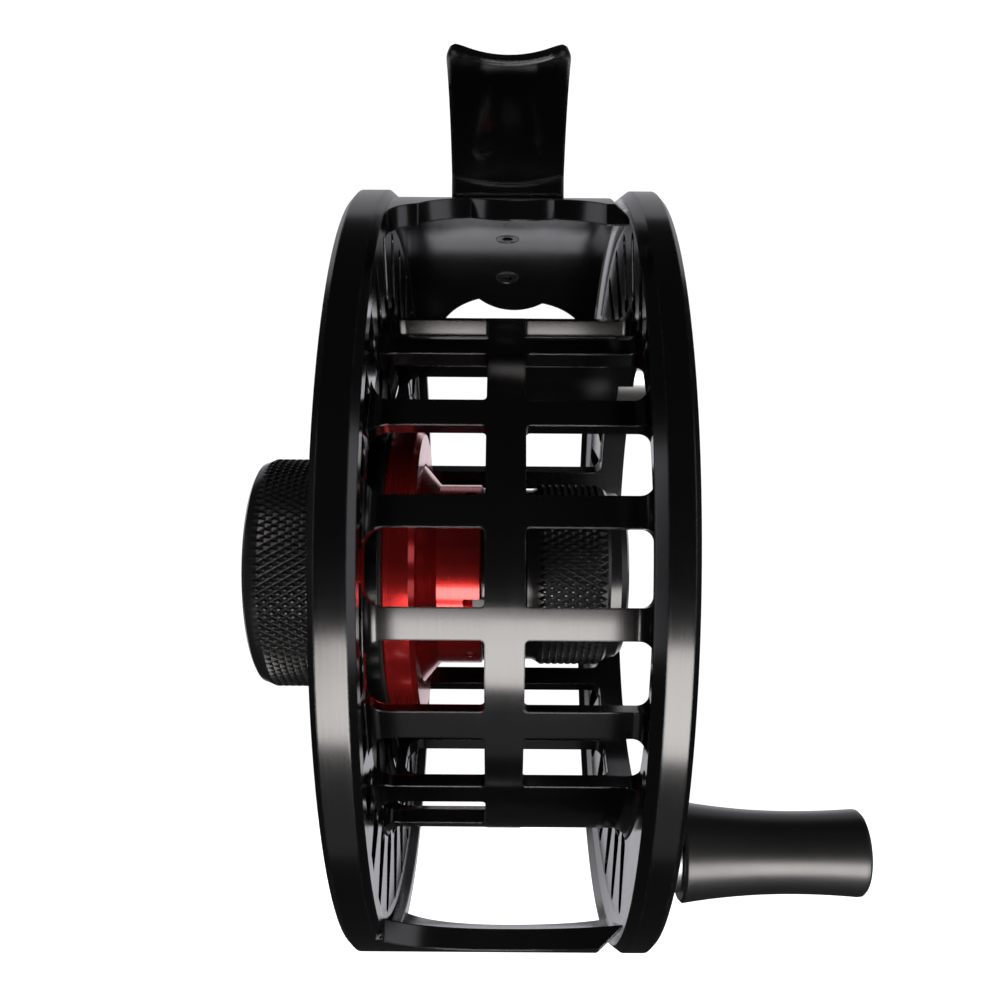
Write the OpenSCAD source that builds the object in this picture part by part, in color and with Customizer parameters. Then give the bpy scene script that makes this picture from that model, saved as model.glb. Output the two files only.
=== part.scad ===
// Large-arbor fly reel with a sealed disc drag.
// The row frame has its origin at the middle of the foot's seat. +Z points up at the rod,
// +X runs along the spool axis to the handle side, and -Y is the near side.
// Angles around the spool axis are counted from the near side, upward.

/* [Reel] */
// Outer diameter of the frame ring and of the palming rim
reel_d = 100; // [98:1:104]
// Height of the foot's seat above the outer diameter
seat_h = 5.8; // [5.6:0.1:7]

/* [Frame] */
// Left face of the frame ring
ring_x = -18.2; // [-18.4:0.1:-18.1]
// Width of the frame ring
ring_w = 4.5; // [4.3:0.1:4.6]
// Thickness of the back plate
plate_t = 2.5; // [2.3:0.1:2.7]
// Number of small ports in the outer row of the back plate
outer_ports = 30; // [24:1:30]
// Number of long ports in the inner row of the back plate
inner_ports = 18; // [12:1:18]
// Right end of the crossbars
bar_end_x = 14.1; // [13.7:0.1:14.1]
// Turn of the bottom crossbar from straight down to the near side
bottom_bar_turn = 16; // [0:1:20]

/* [Foot] */
// Length of the foot along the rod
foot_l = 64; // [60:1:68]
// Width of the foot
foot_w = 13.8; // [13.2:0.1:14.4]
// Radius of the hollow seat
seat_r = 13.4; // [12:0.2:16]
// Length of the foot's block where it stands on the frame
block_l = 34; // [33.6:0.2:34.4]

/* [Spool] */
// Outer radius of the arbor
arbor_r = 34.65; // [34:0.05:35]
// Wall of the arbor
arbor_t = 1.8; // [1.6:0.1:2]
// Number of cross strips of the arbor
strips = 18; // [18:1:18]
// Width of one cross strip
strip_w = 3.6; // [3:0.1:4.5]
// Width of the band around the middle of the arbor
band_w = 4.4; // [4:0.1:6]
// Number of slots in each flange
flange_slots = 30; // [30:1:30]

/* [Drag] */
// Radius of the drag housing
housing_r = 20; // [20:0.1:20.4]
// Radius of the drag hub
hub_r = 12.4; // [12:0.1:12.8]
// Diameter of the drag knob
knob_d = 31.6; // [31:0.1:33]
// Length of the drag knob
knob_l = 11.8; // [11.6:0.1:13]

/* [Release cap] */
// Diameter of the knurled release cap
cap_d = 25; // [24.8:0.1:27]
// Length of the release cap
cap_l = 13.5; // [13:0.1:15]

/* [Handle] */
// Distance of the handle from the spool axis
handle_r = 39; // [38.8:0.1:39.2]
// Length of the grip
grip_l = 22; // [21:0.1:24]
// Diameter of the grip at the spool
grip_base_d = 12; // [11:0.1:13]
// Diameter of the grip at its waist
grip_waist_d = 9.76; // [9.4:0.02:10.4]
// Diameter of the grip at its free end
grip_end_d = 10.5; // [10.2:0.1:12]
// Diameter of the counterweight
weight_d = 11; // [10:0.1:11]

/* [Hidden] */
fine = 96;
small = 32;
cut = 1;
fit = 0.04;
reel_r = reel_d / 2;
axis_z = -reel_r - seat_h;

// Frame ring, back plate and crossbars
ring_in_r = reel_r - 2.6;
plate_out_x = ring_x - plate_t;
dish_r = 36;
top_bar_in = reel_r - 3;
top_bar_out = reel_r - 0.8;
top_bar_half = 23.5;
top_bar_turn = 2;
bottom_bar_in = reel_r - 2.5;
bar_chamfer = [2.6, 2.3];
ring_fillet = 5;
bar_root_x = ring_x + ring_w - 0.9;
foot_screw_turns = [-15, 0, 15];
foot_edge_z = 1.35;
foot_tip_t = 1.1;
foot_ramp_r = 18.5;

// Spool
band_x = band_w / 2;
arbor_left_x = -16.7;
arbor_right_x = 19.6;
left_face_x = -15.1;
right_face_x = 15.9;
window_left_x = left_face_x - 0.1;
window_right_x = right_face_x + 0.1;
window_pitch = 360 / strips;
window_w = 2 * arbor_r * sin(window_pitch / 2) - strip_w;
left_flange_r = reel_r - 3.5;
slot_in_r = 37.2;
slot_out_r = 44.1;
handle_a = -60;
weight_a = handle_a + 180;
weight_at = handle_r - 1;
pocket_x = 17.3;
boss_x = [-3, 2.6];
boss_r = 12;
bore_r = 9;
web_half = 1.6;

// Drag, from the knob on the left to the seal on the right
knob_r = knob_d / 2;
knob_right_x = plate_out_x - 0.7;
knob_left_x = knob_right_x - knob_l;
spindle_r = 3;
spindle_left_x = -30.9;
spindle_right_x = 11.6;
pin_at = 11.2;
push_pin_turns = [30, 150, 270];
guide_pin_turns = [0, 180];
screw_at = 18.7;
housing_screws_n = 6;
click_at = 14.05;
clicks = 24;
frame_boss_x = -15.4;
housing_wall_x = [-12.6, -11.7];
housing_right_x = -11.05;
ridge_r = hub_r + 2.6;
housing_bore_r = 17.4;
gasket_t = 0.3;
sleeve_r = 7;
bearing_w = 3.6;
left_bearing_x = -16.1;
right_bearing_x = -1.2;
bearing_r = 6;
balls = 8;
ball_r = 0.78;
ball_at = 4.5;
rollers = 12;
roller_r = 0.72;
keys = 3;
key_a = -20;

// Release cap and handle
cap_r = cap_d / 2;
cap_x = 2.7;
cap_sleeve_r = 10;
grip_x = 21.1;
waist_at = 0.61;

// Colours
black = "#16171a";
red = "#b3141c";
steel = "#a9adb3";
brass = "#b28d45";
carbon = "#2a2c30";
rubber = "#101010";

// Moves its children to the spool axis.
module on_axis() {
    translate([0, 0, axis_z])
        children();
}

// Places its children at radius r and angle a around the spool axis.
module polar(a, r) {
    on_axis()
        rotate([-a, 0, 0])
            translate([0, -r, 0])
                children();
}

// Round bar along X, from x0 to x1.
module rod(x0, x1, r, sides = small) {
    translate([x0, 0, 0])
        rotate([0, 90, 0])
            cylinder(h = x1 - x0, r = r, $fn = sides);
}

// Solid of revolution about the spool axis from [x, radius] points.
module turned(points) {
    on_axis()
        rotate([0, 90, 0])
            rotate_extrude($fn = fine)
                polygon([for (p = points) [p[1], p[0]]]);
}

// Plain ring about the spool axis.
module ring(x0, x1, r0, r1) {
    turned([[x0, r0], [x1, r0], [x1, r1], [x0, r1]]);
}

// Extrudes a flat outline outward along the radius at angle a. Its x stays the row's x.
module radial_prism(a, r0, r1) {
    on_axis()
        rotate([90 - a, 0, 0])
            translate([0, 0, r0])
                linear_extrude(height = r1 - r0)
                    children();
}

// Slot along the radius with round ends of half widths h0 at r0 and h1 at r1.
module radial_slot(a, r0, r1, h0, h1, x0, x1) {
    on_axis()
        rotate([-a, 0, 0])
            translate([x0, 0, 0])
                rotate([0, 90, 0])
                    linear_extrude(height = x1 - x0) {
                        polygon([[-h0, -r0], [h0, -r0], [h1, -r1], [-h1, -r1]]);
                        translate([0, -r0])
                            circle(r = h0, $fn = small);
                        translate([0, -r1])
                            circle(r = h1, $fn = small);
                    }
}

// Outline from x = 0 to l, w wide, with corner radius ra at x = 0 and rb at x = l.
module rounded_strip(l, w, ra, rb) {
    translate([ra, -w / 2])
        square([l - ra - rb, w]);
    translate([0, -w / 2 + ra])
        square([l / 2, w - 2 * ra]);
    translate([l / 2, -w / 2 + rb])
        square([l / 2, w - 2 * rb]);
    for (side = [-1, 1]) {
        translate([ra, side * (w / 2 - ra)])
            circle(r = ra, $fn = small);
        translate([l - rb, side * (w / 2 - rb)])
            circle(r = rb, $fn = small);
    }
}

// Small screw with a hex socket, head first, pointing along +Z.
module socket_screw(head_r, head_h, shank_r, shank_l) {
    difference() {
        cylinder(h = head_h, r = head_r, $fn = small);
        translate([0, 0, -cut])
            cylinder(h = cut + head_h * 0.6, r = head_r * 0.5, $fn = 6);
    }
    translate([0, 0, head_h])
        cylinder(h = shank_l, r = shank_r, $fn = small);
}

// Crossbar blank: a ring sector's section with the chamfer that faces the palming rim.
module bar_ring(r_in, r_out) {
    chamfer_r = reel_r - bar_chamfer[1];
    slope = bar_chamfer[0] / bar_chamfer[1];
    turned([
        [bar_root_x - 0.6, r_in],
        [bar_end_x, r_in],
        [bar_end_x, chamfer_r],
        [bar_end_x - (r_out - chamfer_r) * slope, r_out],
        [bar_root_x - 0.6, r_out]
    ]);
}

// Web between a crossbar edge at height h and the ring, with a hollow fillet.
module root_fillet(h) {
    for (side = [-1, 1])
        difference() {
            translate([bar_root_x - 0.6, side > 0 ? h - 1 : -h - ring_fillet])
                square([ring_fillet + 1.5, ring_fillet + 1]);
            translate([bar_root_x + ring_fillet + 0.9, side * (h + ring_fillet)])
                circle(r = ring_fillet, $fn = fine);
        }
}

// Top crossbar seen along its radius: wide ends, a lobe and two hollows on each edge.
module top_bar_outline() {
    left_hollow = [-0.84, 29.3, 11];
    right_hollow = [2.95, 30.5, 11];
    lobe = [1.1, 13.8, 7.5];
    difference() {
        union() {
            translate([bar_root_x - 0.6, -top_bar_half])
                square([bar_end_x - bar_root_x + 0.6, 2 * top_bar_half]);
            root_fillet(top_bar_half);
        }
        for (side = [-1, 1])
            for (h = [left_hollow, right_hollow])
                translate([h[0], side * h[1]])
                    circle(r = h[2], $fn = fine);
    }
    for (side = [-1, 1])
        translate([lobe[0], side * lobe[1]])
            circle(r = lobe[2], $fn = fine);
}

// Bottom crossbar seen along its radius: waisted, wider at the ring than at the free end.
module bottom_bar_outline() {
    half_waist = 6.9;
    left_hollow_r = 18;
    right_hollow_r = 28.8;
    left_half = 13;
    right_half = 10.8;
    difference() {
        translate([bar_root_x - 0.6, -left_half])
            square([-bar_root_x + 0.6, 2 * left_half]);
        for (side = [-1, 1])
            translate([0, side * (half_waist + left_hollow_r)])
                circle(r = left_hollow_r, $fn = fine);
    }
    difference() {
        translate([0, -right_half])
            square([bar_end_x, 2 * right_half]);
        for (side = [-1, 1])
            translate([0, side * (half_waist + right_hollow_r)])
                circle(r = right_hollow_r, $fn = fine);
    }
    // The fillet starts from the hollow's own height, so that its end leaves no step.
    fillet_x = bar_root_x + ring_fillet + 0.9;
    root_fillet(half_waist + left_hollow_r - sqrt(left_hollow_r * left_hollow_r - fillet_x * fillet_x));
}

module foot_screw_places() {
    for (a = foot_screw_turns)
        on_axis()
            rotate([a, 0, 0])
                translate([0, 0, top_bar_in])
                    children();
}

module frame() {
    color(black)
        difference() {
            union() {
                turned([
                    [plate_out_x, 0],
                    [plate_out_x, dish_r],
                    [ring_x, ring_in_r - 0.4],
                    [ring_x, reel_r - 0.7],
                    [ring_x + 0.7, reel_r],
                    [bar_root_x + 0.1, reel_r],
                    [ring_x + ring_w, reel_r - 0.7],
                    [ring_x + ring_w, ring_in_r],
                    [ring_x + 1, ring_in_r - 0.2],
                    [ring_x + 0.9, ring_in_r - 1.4],
                    [ring_x, dish_r + 0.5],
                    [ring_x, 0]
                ]);
                ring(ring_x - 0.5, frame_boss_x, housing_bore_r, housing_r + 0.4);
                intersection() {
                    bar_ring(top_bar_in, top_bar_out);
                    radial_prism(90 - top_bar_turn, 0, reel_r + cut)
                        top_bar_outline();
                }
                intersection() {
                    bar_ring(bottom_bar_in, reel_r);
                    radial_prism(bottom_bar_turn - 90, 0, reel_r + cut)
                        bottom_bar_outline();
                }
            }
            for (i = [0 : outer_ports - 1])
                radial_slot(i * 360 / outer_ports, 36.4, 43.6, 2.1, 2.6, plate_out_x - cut, 0);
            for (i = [0 : inner_ports - 1])
                radial_slot(i * 360 / inner_ports, 24.6, 31.4, 1.6, 2.6, plate_out_x - cut, 0);
            on_axis()
                rod(plate_out_x - cut, 0, spindle_r + 1, fine);
            for (a = push_pin_turns)
                polar(a, pin_at)
                    rod(plate_out_x - cut, 0, 1 + fit);
            for (a = guide_pin_turns)
                polar(a, pin_at)
                    rod(plate_out_x - cut, 0, 0.8);
            for (i = [0 : housing_screws_n - 1])
                polar(i * 360 / housing_screws_n, screw_at) {
                    rod(plate_out_x - cut, plate_out_x + 1.2, 1.65);
                    rod(plate_out_x, 0, 0.8);
                }
            for (i = [0 : clicks - 1])
                polar(i * 360 / clicks, click_at)
                    translate([plate_out_x - 0.8, 0, 0])
                        sphere(r = 1.2, $fn = small);
            foot_screw_places() {
                translate([0, 0, -0.01])
                    cylinder(h = 1.01, r1 = 1.61, r2 = 0.9, $fn = small);
                cylinder(h = 5, r = 0.9, $fn = small);
            }
        }
}

// Foot turned about the rod's axis: both ends sweep up from the block to thin tips.
module foot_body() {
    tip_r = seat_r + foot_tip_t;
    translate([0, 0, seat_r])
        rotate([90, 0, 0])
            rotate_extrude($fn = fine) {
                difference() {
                    translate([0, -foot_l / 2])
                        square([seat_r + 12.6, foot_l]);
                    for (side = [-1, 1])
                        translate([tip_r + foot_ramp_r, side * (foot_l / 2 - 0.5)])
                            circle(r = foot_ramp_r, $fn = fine);
                }
                translate([0, -block_l / 2])
                    square([seat_r + 12.6, block_l]);
            }
}

module reel_foot() {
    tip_corner = 2.2;
    bevel = 0.5;
    color(black)
        difference() {
            intersection() {
                foot_body();
                translate([0, -foot_l / 2, -15])
                    rotate([0, 0, 90])
                        linear_extrude(height = 20)
                            rounded_strip(foot_l, foot_w, tip_corner, tip_corner);
                rotate([90, 0, 0])
                    translate([0, 0, -foot_l / 2])
                        linear_extrude(height = foot_l)
                            polygon([
                                [-foot_w / 2, -15],
                                [-foot_w / 2, foot_edge_z - bevel],
                                [-foot_w / 2 + bevel, foot_edge_z],
                                [foot_w / 2 - bevel, foot_edge_z],
                                [foot_w / 2, foot_edge_z - bevel],
                                [foot_w / 2, -15]
                            ]);
            }
            translate([0, 0, seat_r])
                rotate([90, 0, 0])
                    cylinder(h = foot_l + 2, r = seat_r, center = true, $fn = fine);
            on_axis()
                rod(-foot_w, foot_w, top_bar_out + 0.02, fine);
            foot_screw_places()
                cylinder(h = 5.6, r = 0.9, $fn = small);
        }
}

module foot_screws() {
    color(steel)
        foot_screw_places()
            difference() {
                union() {
                    cylinder(h = 1, r1 = 1.6, r2 = 0.89, $fn = small);
                    cylinder(h = 5.4, r = 0.89, $fn = small);
                }
                translate([0, 0, -cut])
                    cylinder(h = cut + 0.7, r = 0.8, $fn = 6);
            }
}

module spindle() {
    color(steel)
        difference() {
            turned([
                [spindle_left_x, 0],
                [spindle_left_x, spindle_r - 0.4],
                [spindle_left_x + 0.4, spindle_r],
                [plate_out_x, spindle_r],
                [plate_out_x, spindle_r + 0.98],
                [ring_x, spindle_r + 0.98],
                [ring_x, 8],
                [-16.8, 8],
                [-16.8, 3.8],
                [left_bearing_x, 3.8],
                [left_bearing_x, spindle_r],
                [2.45, spindle_r],
                [2.45, 2.6],
                [3.1, 2.6],
                [3.1, spindle_r],
                [8, spindle_r],
                [8, 2.6],
                [9, 2.6],
                [9, spindle_r],
                [spindle_right_x - 0.8, spindle_r],
                [spindle_right_x, spindle_r - 0.8],
                [spindle_right_x, 0]
            ]);
            on_axis()
                rod(spindle_left_x - cut, spindle_left_x + 5, 1.25);
        }
}

module spindle_nut() {
    color(steel)
        on_axis()
            difference() {
                rod(plate_out_x - 1.7, plate_out_x, 5.5, 6);
                rod(plate_out_x - 1.7 - cut, plate_out_x + cut, spindle_r + 0.02);
            }
}

module drag_housing() {
    color(red)
        difference() {
            turned([
                [frame_boss_x + gasket_t, housing_bore_r],
                [housing_wall_x[0], housing_bore_r],
                [housing_wall_x[0], 11],
                [housing_wall_x[1], 11],
                [housing_wall_x[1], ridge_r + 0.3],
                [housing_right_x, ridge_r + 0.3],
                [housing_right_x, housing_r - 0.7],
                [housing_right_x - 0.7, housing_r],
                [frame_boss_x + gasket_t + 0.3, housing_r],
                [frame_boss_x + gasket_t, housing_r - 0.3]
            ]);
            for (i = [0 : housing_screws_n - 1])
                polar(i * 360 / housing_screws_n, screw_at)
                    rod(ring_x, -13, 0.72);
        }
}

module housing_gasket() {
    color(rubber)
        difference() {
            ring(frame_boss_x, frame_boss_x + gasket_t, housing_bore_r, housing_r - 0.3);
            for (i = [0 : housing_screws_n - 1])
                polar(i * 360 / housing_screws_n, screw_at)
                    rod(frame_boss_x - cut, frame_boss_x + cut, 0.8);
        }
}

module housing_screws() {
    color(steel)
        for (i = [0 : housing_screws_n - 1])
            polar(i * 360 / housing_screws_n, screw_at)
                translate([plate_out_x + 0.1, 0, 0])
                    rotate([0, 90, 0])
                        socket_screw(1.5, 1.1, 0.7, 6.2);
}

module shaft_seal() {
    color(rubber)
        ring(housing_wall_x[0], housing_wall_x[1], sleeve_r + 0.05, 11);
}

module pressure_plate() {
    color(steel)
        ring(-17, -15.6, 9, housing_bore_r - 0.3);
}

module push_pins() {
    color(steel)
        for (a = push_pin_turns)
            polar(a, pin_at)
                rod(plate_out_x - 0.8, -17, 1);
}

module thrust_washer() {
    color(steel)
        difference() {
            ring(plate_out_x - 1.8, plate_out_x - 0.8, 6.7, 12.3);
            for (a = guide_pin_turns)
                polar(a, pin_at)
                    rod(plate_out_x - 2, plate_out_x, 0.9);
        }
}

module guide_pins() {
    color(steel)
        for (a = guide_pin_turns)
            polar(a, pin_at)
                rod(plate_out_x - 7.2, ring_x, 0.8);
}

// Three cone spring washers, each turned against the next.
module drag_springs() {
    spring_x = plate_out_x - 5.06;
    pitch = 1.07;
    color(steel)
        for (i = [0 : 2]) {
            x = spring_x + i * pitch;
            lift_in = i % 2 == 0 ? 0 : 0.5;
            lift_out = 0.5 - lift_in;
            turned([
                [x + lift_in, 6.7],
                [x + lift_in + 0.5, 6.7],
                [x + lift_out + 0.5, 9.8],
                [x + lift_out, 9.8]
            ]);
        }
}

module drag_nut() {
    nut_x = plate_out_x - 7.7;
    color(brass)
        difference() {
            ring(nut_x, nut_x + 2.5, 6 + fit, 12.3);
            for (a = guide_pin_turns)
                polar(a, pin_at)
                    rod(nut_x - cut, nut_x + 2.5 + cut, 0.86);
        }
}

module inner_drag_disc() {
    color(carbon)
        ring(-15.6, -14.8, 10.6, housing_bore_r - 0.1);
}

module outer_drag_disc() {
    color(carbon)
        ring(-13.4, -12.6, 10.6, housing_bore_r - 0.1);
}

module drag_rotor() {
    color(steel)
        turned([
            [-15.4, 9.3], [-12.9, 9.3], [-12.9, 10], [-13.45, 10], [-13.45, 17],
            [-14.75, 17], [-14.75, 10], [-15.4, 10]
        ]);
}

module clutch_shell() {
    color(steel)
        ring(-15.4, -12.9, 8.6, 9.3);
}

module clutch_rollers() {
    color(steel)
        for (i = [0 : rollers - 1])
            polar(i * 360 / rollers, sleeve_r + 0.08 + roller_r)
                rod(-15.3, -13, roller_r);
}

module drag_knob() {
    recess_x = spindle_left_x + 0.4;
    color(black)
        difference() {
            turned([
                [knob_left_x, 6.5],
                [knob_left_x, knob_r - 1.2],
                [knob_left_x + 0.35, knob_r - 0.35],
                [knob_left_x + 1.2, knob_r],
                [knob_right_x - 0.8, knob_r],
                [knob_right_x, knob_r - 0.8],
                [knob_right_x, 12.6],
                [plate_out_x - 8.2, 12.6],
                [plate_out_x - 8.2, 6],
                [plate_out_x - 2, 6],
                [plate_out_x - 2, spindle_r + fit],
                [recess_x, spindle_r + fit],
                [recess_x, 6.5]
            ]);
            polar(90, click_at)
                rod(knob_right_x - 4.8, knob_right_x + cut, 1.05);
        }
}

module knob_stop_screw() {
    color(steel)
        on_axis()
            translate([spindle_left_x - 1.4, 0, 0])
                rotate([0, 90, 0])
                    socket_screw(4.4, 1.4, 1.23, 4.6);
}

module click_ball() {
    color(steel)
        polar(90, click_at)
            translate([plate_out_x - 1.1, 0, 0])
                sphere(r = 1, $fn = small);
}

module click_spring() {
    color(steel)
        polar(90, click_at)
            difference() {
                rod(knob_right_x - 4.7, plate_out_x - 2.1, 0.9);
                rod(knob_right_x - 4.8, plate_out_x, 0.55);
            }
}

module key_places(n, first) {
    for (i = [0 : n - 1])
        polar(first + i * 360 / n, 0)
            children();
}

module drag_hub() {
    color(red)
        difference() {
            turned([
                [-16.5, bearing_r + 0.02],
                [-16.5, sleeve_r],
                [housing_wall_x[1] + 0.3, sleeve_r],
                [housing_wall_x[1] + 0.3, ridge_r],
                [housing_wall_x[1] + 0.6, ridge_r],
                [-8.85, hub_r],
                [boss_x[0] - 0.3, hub_r],
                [boss_x[0] - 0.1, hub_r - 0.2],
                [boss_x[0] - 0.1, bore_r],
                [2.4, bore_r],
                [2.4, bearing_r + 0.02],
                [right_bearing_x - 0.1, bearing_r + 0.02],
                [right_bearing_x - 0.1, 5],
                [left_bearing_x + bearing_w + 0.1, 5],
                [left_bearing_x + bearing_w + 0.1, bearing_r + 0.02]
            ]);
            key_places(keys, key_a)
                translate([-5.4, -hub_r - cut, -0.75])
                    cube([5.4, hub_r + cut - 9.5, 1.5]);
            key_places(keys, key_a + 78)
                translate([-4.6, 0, 0])
                    rotate([90, 0, 0])
                        cylinder(h = hub_r + cut, r = 0.8, $fn = small);
        }
}

module drive_keys() {
    color(steel)
        key_places(keys, key_a)
            translate([-4.2, -12.15, -0.68])
                cube([2.6, 2.6, 1.36]);
}

module hub_set_screws() {
    color(steel)
        key_places(keys, key_a + 78)
            translate([-4.6, 0, 0])
                rotate([90, 0, 0])
                    difference() {
                        translate([0, 0, 5.4])
                            cylinder(h = hub_r - 5.8, r = 0.78, $fn = small);
                        translate([0, 0, hub_r - 1.2])
                            cylinder(h = 2, r = 0.4, $fn = 6);
                    }
}

module bearing_spacer() {
    color(steel)
        ring(left_bearing_x + bearing_w, right_bearing_x, spindle_r + 0.02, 3.8);
}

module hub_clip() {
    color(steel)
        difference() {
            ring(2.48, 3.07, 2.63, 4.3);
            polar(90, 0)
                translate([0, -6, -0.7])
                    cube([6, 6, 1.4]);
        }
}

// Ring of a ball bearing with its race, between radii r0 and r1.
module bearing_ring(x, r0, r1) {
    difference() {
        ring(x, x + bearing_w, r0, r1);
        on_axis()
            translate([x + bearing_w / 2, 0, 0])
                rotate([0, 90, 0])
                    rotate_extrude($fn = fine)
                        translate([ball_at, 0])
                            circle(r = ball_r + 0.05, $fn = small);
    }
}

module bearing_balls(x) {
    for (i = [0 : balls - 1])
        polar(i * 360 / balls, ball_at)
            translate([x + bearing_w / 2, 0, 0])
                sphere(r = ball_r, $fn = small);
}

module left_bearing_inner_ring() {
    color(steel)
        bearing_ring(left_bearing_x, spindle_r + 0.01, 3.95);
}

module left_bearing_outer_ring() {
    color(steel)
        bearing_ring(left_bearing_x, 5.05, bearing_r);
}

module left_bearing_balls() {
    color(steel)
        bearing_balls(left_bearing_x);
}

module right_bearing_inner_ring() {
    color(steel)
        bearing_ring(right_bearing_x, spindle_r + 0.01, 3.95);
}

module right_bearing_outer_ring() {
    color(steel)
        bearing_ring(right_bearing_x, 5.05, bearing_r);
}

module right_bearing_balls() {
    color(steel)
        bearing_balls(right_bearing_x);
}

// Windows between two cross strips, one on each side of the middle band.
module arbor_windows() {
    left_corner = 2.3;
    right_corner = 1.3;
    band_corner = 0.5;
    for (i = [0 : strips - 1]) {
        a = i * window_pitch - 180;
        closed = a == handle_a || a == weight_a;
        radial_prism(a, arbor_r - arbor_t - 2, arbor_r + 3)
            translate([window_left_x, 0])
                rounded_strip(-band_x - window_left_x, window_w, left_corner, band_corner);
        if (!closed)
            radial_prism(a, arbor_r - arbor_t - 2, arbor_r + 3)
                translate([band_x, 0])
                    rounded_strip(window_right_x - band_x, window_w, band_corner, right_corner);
    }
}

module weight_pocket() {
    polar(weight_a, weight_at)
        rod(pocket_x, arbor_right_x + cut, weight_d / 2 + 0.1, fine);
}

// Hollow round between the arbor and a flange's inner face at x, toward the given side.
module root_round(x, side, r) {
    bite = 0.03;
    on_axis()
        rotate([0, 90, 0])
            rotate_extrude($fn = fine)
                difference() {
                    translate([arbor_r - 0.2, side > 0 ? x : x - r])
                        square([r, r]);
                    translate([arbor_r + r - bite, x + side * (r - bite)])
                        circle(r = r, $fn = fine);
                }
}

module key_notches() {
    key_places(keys, key_a)
        translate([boss_x[0] - cut, -boss_r - cut, -0.9])
            cube([cut + 1.6, boss_r + cut - 9.3, 1.8]);
}

module spool_arbor() {
    color(black)
        difference() {
            union() {
                ring(arbor_left_x, arbor_right_x, arbor_r - arbor_t, arbor_r);
                root_round(left_face_x, 1, 1.6);
                root_round(right_face_x, -1, 1.9);
            }
            arbor_windows();
            weight_pocket();
        }
}

module spool_web() {
    color(black)
        difference() {
            ring(-web_half, web_half, boss_r, arbor_r - arbor_t);
            for (i = [0 : strips - 1])
                radial_slot((i + 0.5) * window_pitch, 16.4, 28.6, 1.1, 3.2, -web_half - cut, web_half + cut);
            key_notches();
        }
}

module spool_boss() {
    color(black)
        difference() {
            turned([
                [boss_x[0], bore_r + fit],
                [6.2, bore_r + fit],
                [6.2, cap_sleeve_r],
                [5.5, cap_sleeve_r],
                [5.5, cap_sleeve_r - 0.5],
                [4.5, cap_sleeve_r - 0.5],
                [4.5, cap_sleeve_r],
                [boss_x[1], cap_sleeve_r],
                [boss_x[1], boss_r],
                [boss_x[0], boss_r]
            ]);
            key_notches();
        }
}

module flange_slot_row(x0, x1) {
    pitch = 360 / flange_slots;
    for (i = [0 : flange_slots - 1]) {
        a = (i + 0.5) * pitch - 180;
        clear = min(abs(a - handle_a), abs(a - weight_a));
        if (x1 < 0 || clear > pitch)
            radial_slot(a, slot_in_r, slot_out_r, 2.2, 1.4, x0, x1);
    }
}

module spool_left_flange() {
    color(black)
        difference() {
            turned([
                [arbor_left_x, arbor_r],
                [left_face_x, arbor_r],
                [left_face_x, left_flange_r - 1.2],
                [left_face_x + 0.2, left_flange_r - 0.4],
                [left_face_x - 0.2, left_flange_r],
                [arbor_left_x + 0.4, left_flange_r],
                [arbor_left_x, left_flange_r - 0.4]
            ]);
            flange_slot_row(arbor_left_x - cut, -10);
        }
}

module spool_right_flange() {
    color(black)
        difference() {
            union() {
                turned([
                    [right_face_x, arbor_r],
                    [arbor_right_x, arbor_r],
                    [arbor_right_x, 37.5],
                    [18.3, reel_r - 5.5],
                    [18, reel_r - 3],
                    [18, reel_r - 0.6],
                    [17.4, reel_r],
                    [14.9, reel_r],
                    [13.7, reel_r - 0.9],
                    [14.6, reel_r - 2],
                    [15.2, reel_r - 4],
                    [right_face_x, arbor_r + 2]
                ]);
                difference() {
                    polar(handle_a, handle_r)
                        rod(16, arbor_right_x, 4.9, fine);
                    on_axis()
                        rod(arbor_right_x - 6, arbor_right_x + cut, arbor_r, fine);
                }
                difference() {
                    polar(weight_a, weight_at)
                        rod(16, arbor_right_x, weight_d / 2 + 1.1, fine);
                    on_axis()
                        rod(arbor_right_x - 6, arbor_right_x + cut, arbor_r, fine);
                }
            }
            flange_slot_row(10, arbor_right_x + cut);
            weight_pocket();
            polar(weight_a, weight_at)
                rod(16.2, pocket_x + cut, 0.92);
            polar(handle_a, handle_r)
                rod(16.4, arbor_right_x + cut, 1.9);
        }
}

module release_cap() {
    color(black)
        turned([
            [cap_x, cap_sleeve_r + fit],
            [cap_x, cap_r - 0.9],
            [cap_x + 0.2, cap_r - 0.7],
            [cap_x + 1, cap_r - 0.7],
            [cap_x + 1.5, cap_r],
            [cap_x + cap_l - 2.9, cap_r],
            [cap_x + cap_l - 2.5, cap_r - 0.8],
            [cap_x + cap_l - 1.1, cap_r - 1.1],
            [cap_x + cap_l - 0.3, cap_r - 1.8],
            [cap_x + cap_l, cap_r - 2.6],
            [cap_x + cap_l, 0],
            [spindle_right_x + 0.6, 0],
            [spindle_right_x + 0.6, spindle_r + 0.2],
            [9.4, spindle_r + 0.2],
            [9.4, 4.2],
            [7.6, 4.2],
            [7.6, spindle_r + 0.2],
            [6.5, spindle_r + 0.2],
            [6.5, cap_sleeve_r + fit],
            [5.5, cap_sleeve_r + fit],
            [5.5, cap_sleeve_r + 0.5],
            [4.5, cap_sleeve_r + 0.5],
            [4.5, cap_sleeve_r + fit]
        ]);
}

module cap_clip() {
    color(steel)
        difference() {
            ring(4.6, 5.4, cap_sleeve_r - 0.45, cap_sleeve_r + 0.4);
            polar(90, 0)
                translate([0, -12, -1])
                    cube([8, 12, 2]);
        }
}

module latch_spring() {
    color(steel)
        difference() {
            ring(8.1, 8.9, spindle_r + 0.06, 3.95);
            polar(0, 0)
                translate([7, -6, -0.6])
                    cube([3, 6, 1.2]);
        }
}

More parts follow.
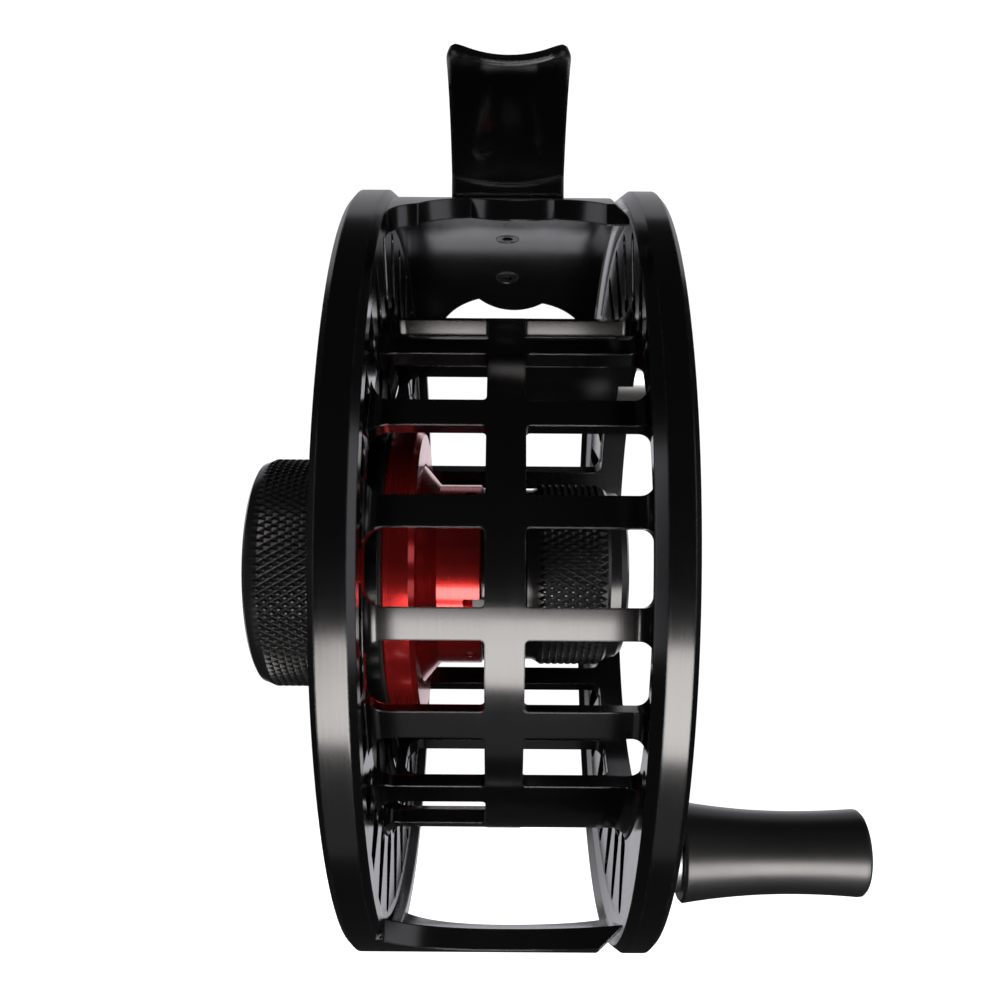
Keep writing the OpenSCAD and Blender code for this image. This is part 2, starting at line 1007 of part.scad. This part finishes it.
module handle_post() {
    color(steel)
        polar(handle_a, handle_r)
            difference() {
                union() {
                    rod(16.6, arbor_right_x, 1.88);
                    rod(arbor_right_x, grip_x + grip_l - 3.8, 2.5);
                }
                rod(grip_x + grip_l - 8.8, grip_x + grip_l, 1.2);
            }
}

module handle_washer() {
    color(steel)
        polar(handle_a, handle_r)
            difference() {
                rod(arbor_right_x, grip_x - 0.2, 4.8);
                rod(arbor_right_x - cut, grip_x, 2.5);
            }
}

module handle_bushings() {
    bush_l = 5;
    color(brass)
        for (x = [grip_x, grip_x + grip_l - 4 - bush_l])
            polar(handle_a, handle_r)
                difference() {
                    rod(x, x + bush_l, 3.5);
                    rod(x - cut, x + bush_l + cut, 2.5 + fit);
                }
}

// Grip radius at part t of its length: a flare to the spool and a slight swell at the end.
function grip_r(t) = let (
    base = grip_base_d / 2,
    waist = grip_waist_d / 2,
    end = grip_end_d / 2,
    down = max(0, 1 - t / waist_at),
    up = max(0, (t - waist_at) / (1 - waist_at))
) waist + (base - waist) * down * down + (end - waist) * up * up;

module handle_grip() {
    steps = 16;
    end_x = grip_x + grip_l;
    edge = 0.8;
    color(black)
        polar(handle_a, handle_r)
            rotate([0, 90, 0])
                rotate_extrude($fn = fine)
                    polygon(concat(
                        [[3.5, grip_x], [grip_r(0) - 0.3, grip_x]],
                        [for (i = [0 : steps]) [grip_r(i / steps * 0.96), grip_x + 0.3 + (grip_l - 1.1) * i / steps]],
                        [for (a = [30 : 30 : 90]) [grip_end_d / 2 - edge + edge * cos(a), end_x - edge + edge * sin(a)]],
                        [[3.5, end_x]]
                    ));
}

module handle_screw() {
    head_x = grip_x + grip_l - 2.4;
    color(steel)
        polar(handle_a, handle_r)
            translate([head_x, 0, 0])
                rotate([0, -90, 0])
                    socket_screw(3.1, 1.4, 1.18, 4.8);
}

module counterweight() {
    color("#d5d8dc")
        polar(weight_a, weight_at)
            difference() {
                rod(pocket_x, pocket_x + 5.5, weight_d / 2, fine);
                rod(pocket_x + 3.8, pocket_x + 6, 2.1);
                rod(pocket_x - cut, pocket_x + 6, 0.95);
            }
}

module counterweight_screw() {
    color(steel)
        polar(weight_a, weight_at)
            translate([pocket_x + 5.1, 0, 0])
                rotate([0, -90, 0])
                    socket_screw(1.9, 1.3, 0.9, 4.8);
}

frame();
reel_foot();
foot_screws();
spindle();
spindle_nut();
drag_housing();
housing_gasket();
housing_screws();
shaft_seal();
pressure_plate();
push_pins();
thrust_washer();
guide_pins();
drag_springs();
drag_nut();
inner_drag_disc();
outer_drag_disc();
drag_rotor();
clutch_shell();
clutch_rollers();
drag_knob();
knob_stop_screw();
click_ball();
click_spring();
drag_hub();
drive_keys();
hub_set_screws();
bearing_spacer();
hub_clip();
left_bearing_inner_ring();
left_bearing_outer_ring();
left_bearing_balls();
right_bearing_inner_ring();
right_bearing_outer_ring();
right_bearing_balls();
spool_arbor();
spool_web();
spool_boss();
spool_left_flange();
spool_right_flange();
release_cap();
cap_clip();
latch_spring();
handle_post();
handle_washer();
handle_bushings();
handle_grip();
handle_screw();
counterweight();
counterweight_screw();
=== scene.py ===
"""Looks of the fly reel: finishes, knurled pieces, coils, floor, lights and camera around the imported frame.

Everything is in metres in the CAD frame. The spool axis runs along X through `AXIS`.
"""

import math

import bmesh
import bpy
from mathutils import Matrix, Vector


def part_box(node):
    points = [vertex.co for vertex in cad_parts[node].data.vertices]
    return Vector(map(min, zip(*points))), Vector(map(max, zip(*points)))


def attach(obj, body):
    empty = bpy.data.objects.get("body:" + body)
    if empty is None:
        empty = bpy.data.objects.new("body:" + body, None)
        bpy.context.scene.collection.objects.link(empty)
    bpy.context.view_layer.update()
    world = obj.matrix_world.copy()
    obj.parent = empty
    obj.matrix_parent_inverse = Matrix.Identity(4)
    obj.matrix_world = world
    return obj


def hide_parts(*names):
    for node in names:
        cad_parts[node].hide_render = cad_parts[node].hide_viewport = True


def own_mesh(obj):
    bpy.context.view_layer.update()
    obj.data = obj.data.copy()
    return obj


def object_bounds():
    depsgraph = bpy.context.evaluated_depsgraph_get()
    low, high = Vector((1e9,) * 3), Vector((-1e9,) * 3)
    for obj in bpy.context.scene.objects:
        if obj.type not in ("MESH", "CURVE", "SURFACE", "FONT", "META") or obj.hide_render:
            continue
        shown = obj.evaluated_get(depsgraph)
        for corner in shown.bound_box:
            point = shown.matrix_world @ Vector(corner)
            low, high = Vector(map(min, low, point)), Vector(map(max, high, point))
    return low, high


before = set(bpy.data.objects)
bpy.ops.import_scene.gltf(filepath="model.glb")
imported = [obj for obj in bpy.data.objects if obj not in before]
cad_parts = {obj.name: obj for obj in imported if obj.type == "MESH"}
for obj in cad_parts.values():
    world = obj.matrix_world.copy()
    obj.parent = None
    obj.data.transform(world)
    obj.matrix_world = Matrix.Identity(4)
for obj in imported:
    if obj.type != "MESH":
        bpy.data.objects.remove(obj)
cad_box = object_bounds()

MM = 0.001


def middle(node):
    """Middle of a CAD node's box."""
    low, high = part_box(node)
    return (low + high) / 2


def half_height(node):
    """Radius of a CAD node that is round about an axis along X."""
    low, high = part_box(node)
    return (high.z - low.z) / 2


AXIS = middle("drag_housing")
HANDLE = middle("handle_grip")
WEIGHT = middle("counterweight")


# ---------------------------------------------------------------------------------------------
# Node materials
# ---------------------------------------------------------------------------------------------

class Finish:
    """One node material, built step by step in front of its Principled shader."""

    def __init__(self, name, **sockets):
        self.material = bpy.data.materials.new(name)
        self.material.use_nodes = True
        self.tree = self.material.node_tree
        self.shader = self.tree.nodes["Principled BSDF"]
        for socket, value in sockets.items():
            self.shader.inputs[socket.replace("_", " ")].default_value = value

    def put(self, socket, value):
        """Links an output to a socket, or sets the socket's own value."""
        if isinstance(value, bpy.types.NodeSocket):
            self.tree.links.new(value, socket)
        else:
            socket.default_value = value

    def add(self, kind, inputs, **settings):
        """Adds a node, with its inputs given by name or index, and returns it."""
        node = self.tree.nodes.new(kind)
        for setting, value in settings.items():
            setattr(node, setting, value)
        for name, value in inputs.items():
            self.put(node.inputs[name], value)
        return node

    def maths(self, operation, first, second):
        return self.add("ShaderNodeMath", {0: first, 1: second}, operation=operation).outputs[0]

    def spread(self, value, low, high):
        """Stretches a 0 to 1 value to the range from low to high."""
        inputs = {"Value": value, "To Min": low, "To Max": high}
        return self.add("ShaderNodeMapRange", inputs).outputs["Result"]

    def step(self, value, start, end):
        """0 below start, 1 above end, and smooth between them."""
        inputs = {"Value": value, "From Min": start, "From Max": end}
        return self.add("ShaderNodeMapRange", inputs, interpolation_type="SMOOTHSTEP").outputs["Result"]

    def noise(self, place, size, detail=3.0, roughness=0.5):
        """Noise whose lumps are about `size` across."""
        inputs = {"Vector": place, "Scale": 1 / size, "Detail": detail, "Roughness": roughness}
        return self.add("ShaderNodeTexNoise", inputs).outputs["Fac"]

    def blend(self, factor, first, second):
        inputs = {"Factor": factor, 6: first, 7: second}
        return self.add("ShaderNodeMix", inputs, data_type="RGBA").outputs[2]

    def place(self):
        return self.tree.nodes.new("ShaderNodeTexCoord").outputs["Object"]

    def turned_place(self, centre):
        """(x, distance from the axis through centre, 0), so that a pattern runs round like a lathe cut."""
        moved = self.add("ShaderNodeVectorMath", {0: self.place(), 1: centre}, operation="SUBTRACT")
        parts = self.add("ShaderNodeSeparateXYZ", {"Vector": moved.outputs[0]})
        flat = self.add("ShaderNodeCombineXYZ", {"Y": parts.outputs["Y"], "Z": parts.outputs["Z"]})
        radius = self.add("ShaderNodeVectorMath", {0: flat.outputs[0]}, operation="LENGTH")
        turned = {"X": parts.outputs["X"], "Y": radius.outputs["Value"]}
        return self.add("ShaderNodeCombineXYZ", turned).outputs[0]

    def edge(self, radius):
        """(normal rounded over the edges, 0 on a face to 1 on an edge).

        The bevel turns the normal only near an edge, so the cosine of that turn tells the two apart.
        """
        face_cosine = 0.995
        edge_cosine = 0.8
        bevel = self.add("ShaderNodeBevel", {"Radius": radius}, samples=4)
        plain = self.tree.nodes.new("ShaderNodeNewGeometry").outputs["Normal"]
        bend = self.add("ShaderNodeVectorMath", {0: bevel.outputs[0], 1: plain}, operation="DOT_PRODUCT")
        return bevel.outputs[0], self.step(bend.outputs["Value"], face_cosine, edge_cosine)

    def bump(self, height, distance, normal):
        inputs = {"Height": height, "Distance": distance, "Normal": normal}
        return self.add("ShaderNodeBump", inputs).outputs["Normal"]

    def set(self, **sockets):
        for socket, value in sockets.items():
            self.put(self.shader.inputs[socket.replace("_", " ")], value)


def metal_colour(tint, share):
    """Opaque colour: the tint made lighter or darker by a share."""
    return (tint[0] * share, tint[1] * share, tint[2] * share, 1.0)


def machined(name, tint, roughness, centre=AXIS, cut=0.12 * MM, cut_depth=0.0006 * MM, edge_tint=None,
             edge_radius=0.16 * MM, **sockets):
    """Turned or milled metal: lathe lines round an axis, cloudy finish, fine pits, and edges lightened in
    patches, partly as edge wear and partly as a painted highlight.
    """
    cloud_size = 7 * MM
    pit_size = 0.18 * MM
    patch_size = 1.3 * MM
    shade = 0.18
    finish = Finish(name, **sockets)
    place = finish.place()
    lines = finish.noise(finish.turned_place(centre), cut, detail=2.0)
    cloud = finish.noise(place, cloud_size, detail=4.0)
    pits = finish.noise(place, pit_size, detail=2.0)
    rounded, edge = finish.edge(edge_radius)

    face = finish.blend(cloud, metal_colour(tint, 1 - shade), metal_colour(tint, 1 + shade))
    # Edges turn toward the edge tint in patches: partly edge wear, partly a painted highlight of the rounded
    # edges.
    patches = finish.step(finish.noise(place, patch_size), 0.3, 0.75)
    worn_and_highlit_edge = finish.maths("MULTIPLY", edge, patches)
    colour = finish.blend(worn_and_highlit_edge, face, metal_colour(edge_tint or tint, 1.0))

    rough = finish.maths("ADD", finish.spread(cloud, -0.04, 0.04), finish.spread(lines, -0.05, 0.05))
    rough = finish.maths("ADD", rough, roughness)
    height = finish.maths("ADD", lines, finish.maths("MULTIPLY", pits, 0.5))
    finish.set(Base_Color=colour, Roughness=rough, Normal=finish.bump(height, cut_depth, rounded))
    return finish.material


BLACK = (0.0017, 0.0016, 0.002)
SATIN_BLACK = (0.009, 0.009, 0.0095)
# Edge colour of black parts: partly worn edge, partly a painted highlight of the rounded edges.
BLACK_EDGE_WEAR_AND_HIGHLIGHT = (0.04, 0.04, 0.042)
RED = (0.68, 0.03, 0.028)
# Edge colour of red parts: partly worn edge, partly a painted pink highlight of the rounded edges.
RED_EDGE_WEAR_AND_HIGHLIGHT = (0.85, 0.12, 0.1)
STAINLESS = (0.3, 0.305, 0.315)
BRIGHT_STEEL = (0.83, 0.83, 0.82)
DARK_STEEL = (0.09, 0.09, 0.095)
SPRING_STEEL = (0.42, 0.43, 0.45)
BEARING_STEEL = (0.68, 0.69, 0.7)
BRASS = (0.66, 0.45, 0.16)
CARBON = (0.02, 0.021, 0.023)
RUBBER = (0.012, 0.012, 0.012)


def make_finishes():
    """Material for each of the record's material slots."""
    black = {"Metallic": 0.0, "IOR": 1.75, "edge_tint": BLACK_EDGE_WEAR_AND_HIGHLIGHT}
    milled = {"edge_radius": 0.28 * MM}
    knurled = {"edge_radius": 0.08 * MM}
    brushed = {"cut_depth": 0.0012 * MM}
    red = {"Metallic": 0.8, "Specular_IOR_Level": 0.2, "cut_depth": 0.0002 * MM}
    film = {"Coat_Weight": 0.5, "Coat_IOR": 1.7, "Coat_Roughness": 0.12}
    metal = {"Metallic": 1.0}
    return {
        "frame_black": machined("frame_black", BLACK, 0.18, **milled, **black),
        "foot_black": machined("foot_black", BLACK, 0.13, edge_radius=0.8 * MM, **black),
        "spool_black": machined("spool_black", BLACK, 0.17, **milled, **black),
        "knob_black": machined("knob_black", SATIN_BLACK, 0.24, **knurled, **black),
        "cap_black": machined("cap_black", SATIN_BLACK, 0.24, **knurled, **black),
        "grip_black": machined("grip_black", SATIN_BLACK, 0.34, centre=HANDLE, **brushed, **black),
        "red_anodised": machined("red_anodised", RED, 0.25, edge_tint=RED_EDGE_WEAR_AND_HIGHLIGHT, **red, **film),
        "stainless": machined("stainless", STAINLESS, 0.36, **metal),
        "bright_steel": machined("bright_steel", BRIGHT_STEEL, 0.3, centre=WEIGHT, **metal),
        "dark_steel": machined("dark_steel", DARK_STEEL, 0.3, **metal),
        "spring_steel": machined("spring_steel", SPRING_STEEL, 0.26, **metal),
        "bearing_steel": machined("bearing_steel", BEARING_STEEL, 0.12, **metal),
        "brass": machined("brass", BRASS, 0.3, **metal),
        "carbon_disc": machined("carbon_disc", CARBON, 0.5, IOR=1.5),
        "rubber": machined("rubber", RUBBER, 0.6, IOR=1.5),
    }


def dress_nodes(finishes):
    """Gives every CAD node the finish of the slot that it has in model.glb."""
    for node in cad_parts.values():
        for slot in node.material_slots:
            slot.material = finishes[slot.material.name.split(".")[0]]


# ---------------------------------------------------------------------------------------------
# Pieces that replace plain CAD solids
# ---------------------------------------------------------------------------------------------

def around(x, radius, turn, centre=AXIS):
    """Point at a turn, counted from the near side upward, round the axis through centre."""
    return Vector((x, centre.y - radius * math.cos(turn), centre.z + radius * math.sin(turn)))


class Shell:
    """Mesh of revolution about an axis along X, made ring by ring with the same number of points."""

    def __init__(self, points_round, centre=AXIS):
        self.count = points_round
        self.centre = centre
        self.points = []
        self.faces = []
        self.last = None

    def ring(self, x, radius):
        """Adds a ring of points and returns its first index."""
        start = len(self.points)
        for i in range(self.count):
            self.points.append(around(x, radius, math.tau * i / self.count, self.centre))
        return start

    def join(self, first, second):
        """Joins two rings with faces."""
        for i in range(self.count):
            j = (i + 1) % self.count
            self.faces.append((first + i, first + j, second + j, second + i))

    def turn(self, x, radius):
        """Carries the surface on to a new ring."""
        new = self.ring(x, radius)
        if self.last is not None:
            self.join(self.last, new)
        self.last = new

    def close(self):
        """Closes the last ring with a flat face."""
        self.faces.append(tuple(self.last + i for i in range(self.count)))

    def path(self, points, x, toward=1):
        """Carries the surface through (distance from x, radius) points."""
        for along, radius in points:
            self.turn(x + toward * along, radius)

    def knurl(self, x_end, radius, depth, rows):
        """Diamond knurl from the last ring to x_end: rows of pyramids with small flat tops."""
        flat_share = 0.24
        x_start = self.points[self.last].x
        low = radius - depth
        rings = [self.last]
        for row in range(1, rows + 1):
            rings.append(self.ring(x_start + (x_end - x_start) * row / rows, low))
        for row in range(1, rows):
            for i in range(row % 2, self.count, 2):
                corners = [rings[row - 1] + i, rings[row] + (i + 1) % self.count, rings[row + 1] + i,
                           rings[row] + (i - 1) % self.count]
                peak = around(x_start + (x_end - x_start) * row / rows, radius, math.tau * i / self.count,
                              self.centre)
                top = len(self.points)
                for corner in corners:
                    level = self.points[corner] - self.centre
                    level.x = 0
                    lifted = self.centre + level * (radius / low)
                    lifted.x = self.points[corner].x
                    self.points.append(peak.lerp(lifted, flat_share))
                self.faces.append((top, top + 1, top + 2, top + 3))
                for side in range(4):
                    after = (side + 1) % 4
                    self.faces.append((top + side, corners[side], corners[after], top + after))
        for edge, inner in ((rings[0], rings[1]), (rings[-1], rings[-2])):
            shift = 0 if edge == rings[0] else (rows % 2)
            for i in range(shift, self.count, 2):
                ahead = (i + 1) % self.count
                back = (i - 1) % self.count
                self.faces.append((edge + back, edge + i, inner + i))
                self.faces.append((edge + i, edge + ahead, inner + i))
        self.last = rings[-1]

    def piece(self, name, material):
        """Makes the mesh object, smooth but for its sharp edges."""
        sharp_angle = math.radians(28)
        mesh = bpy.data.meshes.new(name)
        mesh.from_pydata([tuple(point) for point in self.points], [], self.faces)
        mesh.validate()
        fix_normals(mesh)
        mesh.shade_smooth()
        mesh.set_sharp_from_angle(angle=sharp_angle)
        mesh.materials.append(material)
        piece = bpy.data.objects.new(name, mesh)
        bpy.context.scene.collection.objects.link(piece)
        return piece


def fix_normals(mesh):
    """Points every face outward."""
    work = bmesh.new()
    work.from_mesh(mesh)
    bmesh.ops.recalc_face_normals(work, faces=work.faces)
    work.to_mesh(mesh)
    work.free()


def make_cap(material):
    """Release cap: plain collar, coarse diamond knurl and a rounded end, hollow toward the spool."""
    low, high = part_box("release_cap")
    radius = half_height("release_cap")
    sleeve = half_height("cap_clip") - 0.32 * MM
    bore = 3.2 * MM
    bore_floor = 4 * MM
    sleeve_end = 9.7 * MM
    collar = radius - 0.7 * MM
    knurl_depth = 0.45 * MM
    knurl_end = 2.9 * MM
    shell = Shell(156)
    shell.turn(high.x - bore_floor, bore)
    shell.close()
    shell.path([(sleeve_end, bore), (sleeve_end, sleeve), (6 * MM, sleeve)], high.x, -1)
    shell.path([(0, sleeve), (0, collar - 0.2 * MM), (0.2 * MM, collar)], low.x)
    shell.path([(1 * MM, collar), (1.5 * MM, radius - knurl_depth)], low.x)
    shell.knurl(high.x - knurl_end, radius, knurl_depth, 10)
    shell.path([(2.5 * MM, radius - 0.8 * MM), (1.1 * MM, radius - 1.1 * MM)], high.x, -1)
    shell.path([(0.3 * MM, radius - 1.8 * MM), (0, radius - 2.6 * MM), (0, 0.4 * MM)], high.x, -1)
    shell.close()
    cap = shell.piece("knurled_cap", material)
    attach(cap, "release_cap")
    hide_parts("release_cap")


def make_knob(material):
    """Drag knob: finely knurled rim, bevelled outer face with a screw well, hollow toward the plate."""
    low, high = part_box("drag_knob")
    radius = half_height("drag_knob")
    well = 6.5 * MM
    bore = 3.04 * MM
    spring_room = half_height("thrust_washer") + 0.3 * MM
    boss = 6 * MM
    boss_end = 1.3 * MM
    well_depth = 2.7 * MM
    room_depth = 7.5 * MM
    knurl_depth = 0.3 * MM
    shell = Shell(196)
    shell.turn(low.x, well)
    first = shell.last
    shell.path([(0, radius - 1.2 * MM), (0.35 * MM, radius - 0.6 * MM)], low.x)
    shell.turn(low.x + 1.2 * MM, radius - knurl_depth)
    shell.knurl(high.x - 0.8 * MM, radius, knurl_depth, 11)
    shell.path([(0, radius - 0.8 * MM), (0, spring_room), (room_depth, spring_room)], high.x, -1)
    shell.path([(room_depth, boss), (boss_end, boss), (boss_end, bore)], high.x, -1)
    shell.path([(well_depth, bore), (well_depth, well)], low.x)
    shell.join(shell.last, first)
    knob = shell.piece("knurled_knob", material)
    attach(knob, "drag_knob")
    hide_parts("drag_knob")


def make_cone_washers(material):
    """Three cone spring washers, turned against each other, carried on the drag nut's body."""
    low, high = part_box("drag_springs")
    outer = half_height("drag_springs")
    inner = outer - 3.1 * MM
    thick = 0.5 * MM
    count = 3
    pitch = (high.x - low.x - 2 * thick) / (count - 1)
    shell = Shell(96)
    for i in range(count):
        x = low.x + i * pitch
        lift = thick if i % 2 else 0.0
        shell.last = None
        shell.turn(x + lift, inner)
        first = shell.last
        shell.path([(lift + thick, inner), (2 * thick - lift, outer), (thick - lift, outer)], x)
        shell.join(shell.last, first)
    washers = shell.piece("cone_washers", material)
    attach(washers, "drag_nut")
    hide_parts("drag_springs")
    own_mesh(washers)


def make_click_coil(material):
    """Wound wire spring behind the click ball."""
    low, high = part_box("click_spring")
    centre = (low + high) / 2
    wire = 0.13 * MM
    radius = (high.y - low.y) / 2 - wire
    inside_box = 0.98
    turns = 5
    steps = 14 * turns
    curve = bpy.data.curves.new("click_coil", "CURVE")
    curve.dimensions = "3D"
    curve.bevel_depth = inside_box * wire
    curve.bevel_resolution = 3
    spline = curve.splines.new("POLY")
    spline.points.add(steps)
    for i, point in enumerate(spline.points):
        turn = math.tau * turns * i / steps
        x = low.x + wire + (high.x - low.x - 2 * wire) * i / steps
        point.co = (x, centre.y + radius * math.cos(turn), centre.z + radius * math.sin(turn), 1)
    curve.materials.append(material)
    coil = bpy.data.objects.new("click_coil", curve)
    bpy.context.scene.collection.objects.link(coil)
    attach(coil, "drag_knob")
    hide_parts("click_spring")


# ---------------------------------------------------------------------------------------------
# Stage: floor, backdrop, lights and camera
# ---------------------------------------------------------------------------------------------

WARM = (1.0, 0.965, 0.93)
COOL = (0.95, 0.94, 1.0)


def glowing(name, colour, glow):
    """Matt paper that glows, so that it stays white in the picture."""
    finish = Finish(name, Roughness=0.9)
    speckle = finish.noise(finish.place(), 30 * MM)
    finish.set(Base_Color=finish.blend(speckle, metal_colour(colour, 0.99), metal_colour(colour, 1.0)))
    finish.shader.inputs["Emission Color"].default_value = (1, 1, 1, 1)
    finish.shader.inputs["Emission Strength"].default_value = glow
    return finish.material


def hide_from_rays(thing):
    """Keeps a stage piece out of the reel's reflections and shadows."""
    thing.visible_glossy = False
    thing.visible_diffuse = False
    thing.visible_shadow = False
    thing.visible_transmission = False


def make_floor():
    """Pale floor below the hanging reel."""
    level = cad_box[0].z - 90 * MM
    bpy.ops.mesh.primitive_plane_add(size=4.0, location=(0, 0, level))
    floor = bpy.context.object
    floor.name = "floor"
    floor.data.materials.append(glowing("floor_paper", (0.9, 0.9, 0.9), 1.05))
    hide_from_rays(floor)


def make_backdrop():
    """White all round, which only the camera sees."""
    bpy.ops.mesh.primitive_uv_sphere_add(segments=48, ring_count=24, radius=4.0, location=AXIS)
    backdrop = bpy.context.object
    backdrop.name = "backdrop"
    backdrop.data.materials.append(glowing("backdrop_white", (0.0, 0.0, 0.0), 1.05))
    hide_from_rays(backdrop)


def make_card(name, elevation, azimuth, distance, width, height, radiance, tint=COOL):
    """Soft light card that faces the reel and that the camera doesn't see."""
    light = bpy.data.lights.new(name, "AREA")
    light.shape = "RECTANGLE"
    light.size = width
    light.size_y = height
    light.energy = radiance * math.pi * width * height
    light.color = tint
    card = bpy.data.objects.new(name, light)
    bpy.context.scene.collection.objects.link(card)
    up = math.radians(elevation)
    side = math.radians(azimuth)
    away = Vector((math.sin(side) * math.cos(up), -math.cos(side) * math.cos(up), math.sin(up)))
    card.location = AXIS + away * distance
    card.rotation_euler = away.to_track_quat("Z", "Y").to_euler()
    card.visible_camera = False


def make_lights():
    """One warm card in front of the reel, below it, and dim cool ones all round."""
    make_card("front_low_card", elevation=-33, azimuth=14, distance=0.42, width=0.38, height=0.22,
              radiance=7.4, tint=WARM)
    make_card("front_low_halo", elevation=-58, azimuth=0, distance=0.5, width=0.6, height=0.45,
              radiance=0.17)
    make_card("rear_top_card", elevation=132, azimuth=0, distance=0.5, width=0.8, height=0.32,
              radiance=0.45)
    make_card("rear_wall_card", elevation=164, azimuth=0, distance=0.5, width=0.9, height=0.25,
              radiance=1.0)
    make_card("rear_low_card", elevation=194, azimuth=0, distance=0.5, width=0.9, height=0.2,
              radiance=0.8)
    make_card("left_fill", elevation=5, azimuth=-75, distance=0.6, width=0.3, height=0.5, radiance=0.8)
    make_card("right_fill", elevation=5, azimuth=75, distance=0.6, width=0.3, height=0.5, radiance=0.8)
    room_light = 0.02
    world = bpy.data.worlds.new("studio")
    world.use_nodes = True
    world.node_tree.nodes["Background"].inputs["Color"].default_value = (1, 1, 1, 1)
    world.node_tree.nodes["Background"].inputs["Strength"].default_value = room_light
    bpy.context.scene.world = world


def make_camera():
    """Looks square on the near side, from a little below the spool axis, and a touch turned."""
    distance = 142 * MM
    drop = 2.9 * MM
    roll = math.radians(-0.4)
    level = math.radians(90)
    lens = bpy.data.cameras.new("camera")
    lens.sensor_width = 36
    lens.lens = 36.45
    lens.shift_x = -0.005
    lens.shift_y = 0.095
    lens.clip_start = 5 * MM
    lens.dof.use_dof = False
    camera = bpy.data.objects.new("camera", lens)
    bpy.context.scene.collection.objects.link(camera)
    camera.location = (0, AXIS.y - distance, AXIS.z - drop)
    camera.rotation_euler = (level, roll, 0)
    bpy.context.scene.camera = camera


make_camera()
finishes = make_finishes()
dress_nodes(finishes)
make_cap(finishes["cap_black"])
make_knob(finishes["knob_black"])
make_cone_washers(finishes["spring_steel"])
make_click_coil(finishes["spring_steel"])
make_floor()
make_backdrop()
make_lights()
bpy.context.scene.view_settings.view_transform = "Standard"
